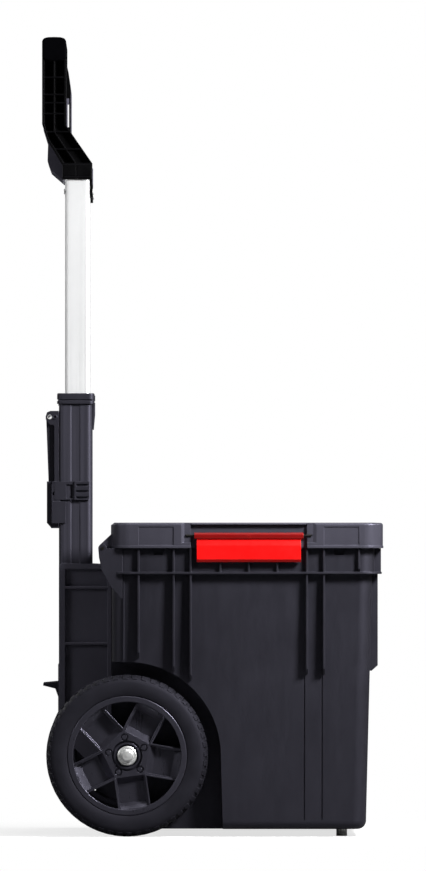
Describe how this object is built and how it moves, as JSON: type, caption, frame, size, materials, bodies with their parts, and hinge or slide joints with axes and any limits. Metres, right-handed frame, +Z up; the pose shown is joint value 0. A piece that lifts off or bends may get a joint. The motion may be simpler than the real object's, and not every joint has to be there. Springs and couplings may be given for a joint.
{
  "type": "rolling tool box",
  "caption": "Rolling tool box: ribbed moulded bin, latched hinged lid, telescopic pull handle with thumb release, foot step and rear carry handle.",
  "frame": {"origin": "on the floor, midway between the wheels and midway between the rearmost and the foremost point", "axes": "+X towards the front, away from the pull handle; +Y to the left; +Z up"},
  "size_m": [0.4436, 0.582, 1.0405],
  "materials": {
    "moulded_plastic": "fine moulded texture, satin",
    "frame_plastic": "moulded, satin",
    "coated_tube": "satin powder coat",
    "bare_aluminium": "satin anodised, drawn lengthwise",
    "red_plastic": "semi-gloss moulded",
    "soft_grip": "soft moulded rubber",
    "wheel_tyre": "moulded rubber with shoulder blocks",
    "wheel_plastic": "semi-gloss moulded",
    "natural_nylon": "moulded, satin",
    "dark_steel": "blackened, satin",
    "zinc_steel": "zinc plated"
  },
  "bodies": {
    "cart": {"bin": "moulded_plastic", "front_foot_left": "natural_nylon", "front_foot_right": "natural_nylon", "hinge_pin_left": "dark_steel", "hinge_pin_right": "dark_steel", "rear_frame": "frame_plastic", "frame_bolts": "zinc_steel", "frame_nuts": "zinc_steel", "foot_step": "frame_plastic", "outer_tube_left": "coated_tube", "outer_tube_right": "coated_tube", "tube_collar_left": "frame_plastic", "tube_collar_right": "frame_plastic", "tube_clamp_left": "frame_plastic", "tube_clamp_right": "frame_plastic", "carry_pin_left": "zinc_steel", "carry_pin_right": "zinc_steel", "axle": "zinc_steel", "axle_cap_left": "zinc_steel", "axle_cap_right": "zinc_steel", "axle_spacer_left": "zinc_steel", "axle_spacer_right": "zinc_steel"},
    "lid": {"lid": "moulded_plastic", "lid_seal": "soft_grip", "latch_pin_left": "dark_steel", "latch_pin_right": "dark_steel"},
    "latch_left": {"latch_left": "red_plastic"},
    "latch_right": {"latch_right": "red_plastic"},
    "wheel_left": {"tyre_left": "wheel_tyre", "rim_left": "wheel_plastic", "wheel_bushes_left": "wheel_plastic"},
    "wheel_right": {"tyre_right": "wheel_tyre", "rim_right": "wheel_plastic", "wheel_bushes_right": "wheel_plastic"},
    "pull_handle": {"handle_frame": "frame_plastic", "arm_cover_left": "frame_plastic", "arm_cover_right": "frame_plastic", "grip_sleeve": "soft_grip", "handle_rivet_left": "zinc_steel", "handle_rivet_right": "zinc_steel", "inner_tube_left": "bare_aluminium", "inner_tube_right": "bare_aluminium", "tube_glide_left": "frame_plastic", "tube_glide_right": "frame_plastic", "trigger_springs": "zinc_steel"},
    "release": {"release_trigger": "frame_plastic", "pull_strip_left": "zinc_steel", "pull_strip_right": "zinc_steel"},
    "lock_pin_left": {"lock_pin_left": "zinc_steel"},
    "lock_pin_right": {"lock_pin_right": "zinc_steel"},
    "carry_handle": {"carry_handle": "frame_plastic", "carry_grip": "soft_grip"}
  },
  "joints": [
    {"name": "lid_hinge", "type": "hinge", "parent": "cart", "child": "lid", "pos_m": [-0.143, 0, 0.374], "axis": [0, -1, 0], "range_deg": [0, 80]},
    {"name": "latch_left_hinge", "type": "hinge", "parent": "lid", "child": "latch_left", "pos_m": [0.0468, 0.287, 0.3906], "axis": [1, 0, 0], "range_deg": [0, 100]},
    {"name": "latch_right_hinge", "type": "hinge", "parent": "lid", "child": "latch_right", "pos_m": [0.0468, -0.287, 0.3906], "axis": [-1, 0, 0], "range_deg": [0, 100]},
    {"name": "wheel_left_spin", "type": "hinge", "parent": "cart", "child": "wheel_left", "pos_m": [-0.111, 0.261, 0.105], "axis": [0, 1, 0], "continuous": true},
    {"name": "wheel_right_spin", "type": "hinge", "parent": "cart", "child": "wheel_right", "pos_m": [-0.111, -0.261, 0.105], "axis": [0, 1, 0], "continuous": true},
    {"name": "handle_slide", "type": "slide", "parent": "cart", "child": "pull_handle", "axis": [0, 0, -1], "range_m": [0, 0.25]},
    {"name": "trigger_press", "type": "slide", "parent": "pull_handle", "child": "release", "axis": [0, 0, 1], "range_m": [0, 0.008], "stiffness_N_per_m": 600, "springref_m": -0.006, "deforming": ["trigger_springs"]},
    {"name": "lock_pin_left_slide", "type": "slide", "parent": "pull_handle", "child": "lock_pin_left", "axis": [0, -1, 0], "range_m": [0, 0.004]},
    {"name": "lock_pin_right_slide", "type": "slide", "parent": "pull_handle", "child": "lock_pin_right", "axis": [0, 1, 0], "range_m": [0, 0.004]},
    {"name": "carry_handle_hinge", "type": "hinge", "parent": "cart", "child": "carry_handle", "pos_m": [-0.212, 0, 0.545], "axis": [0, 1, 0], "range_deg": [0, 100]}
  ],
  "couplings": [
    {"joint": "lock_pin_left_slide", "follows": "trigger_press", "ratio": 0.5},
    {"joint": "lock_pin_right_slide", "follows": "trigger_press", "ratio": 0.5}
  ]
}
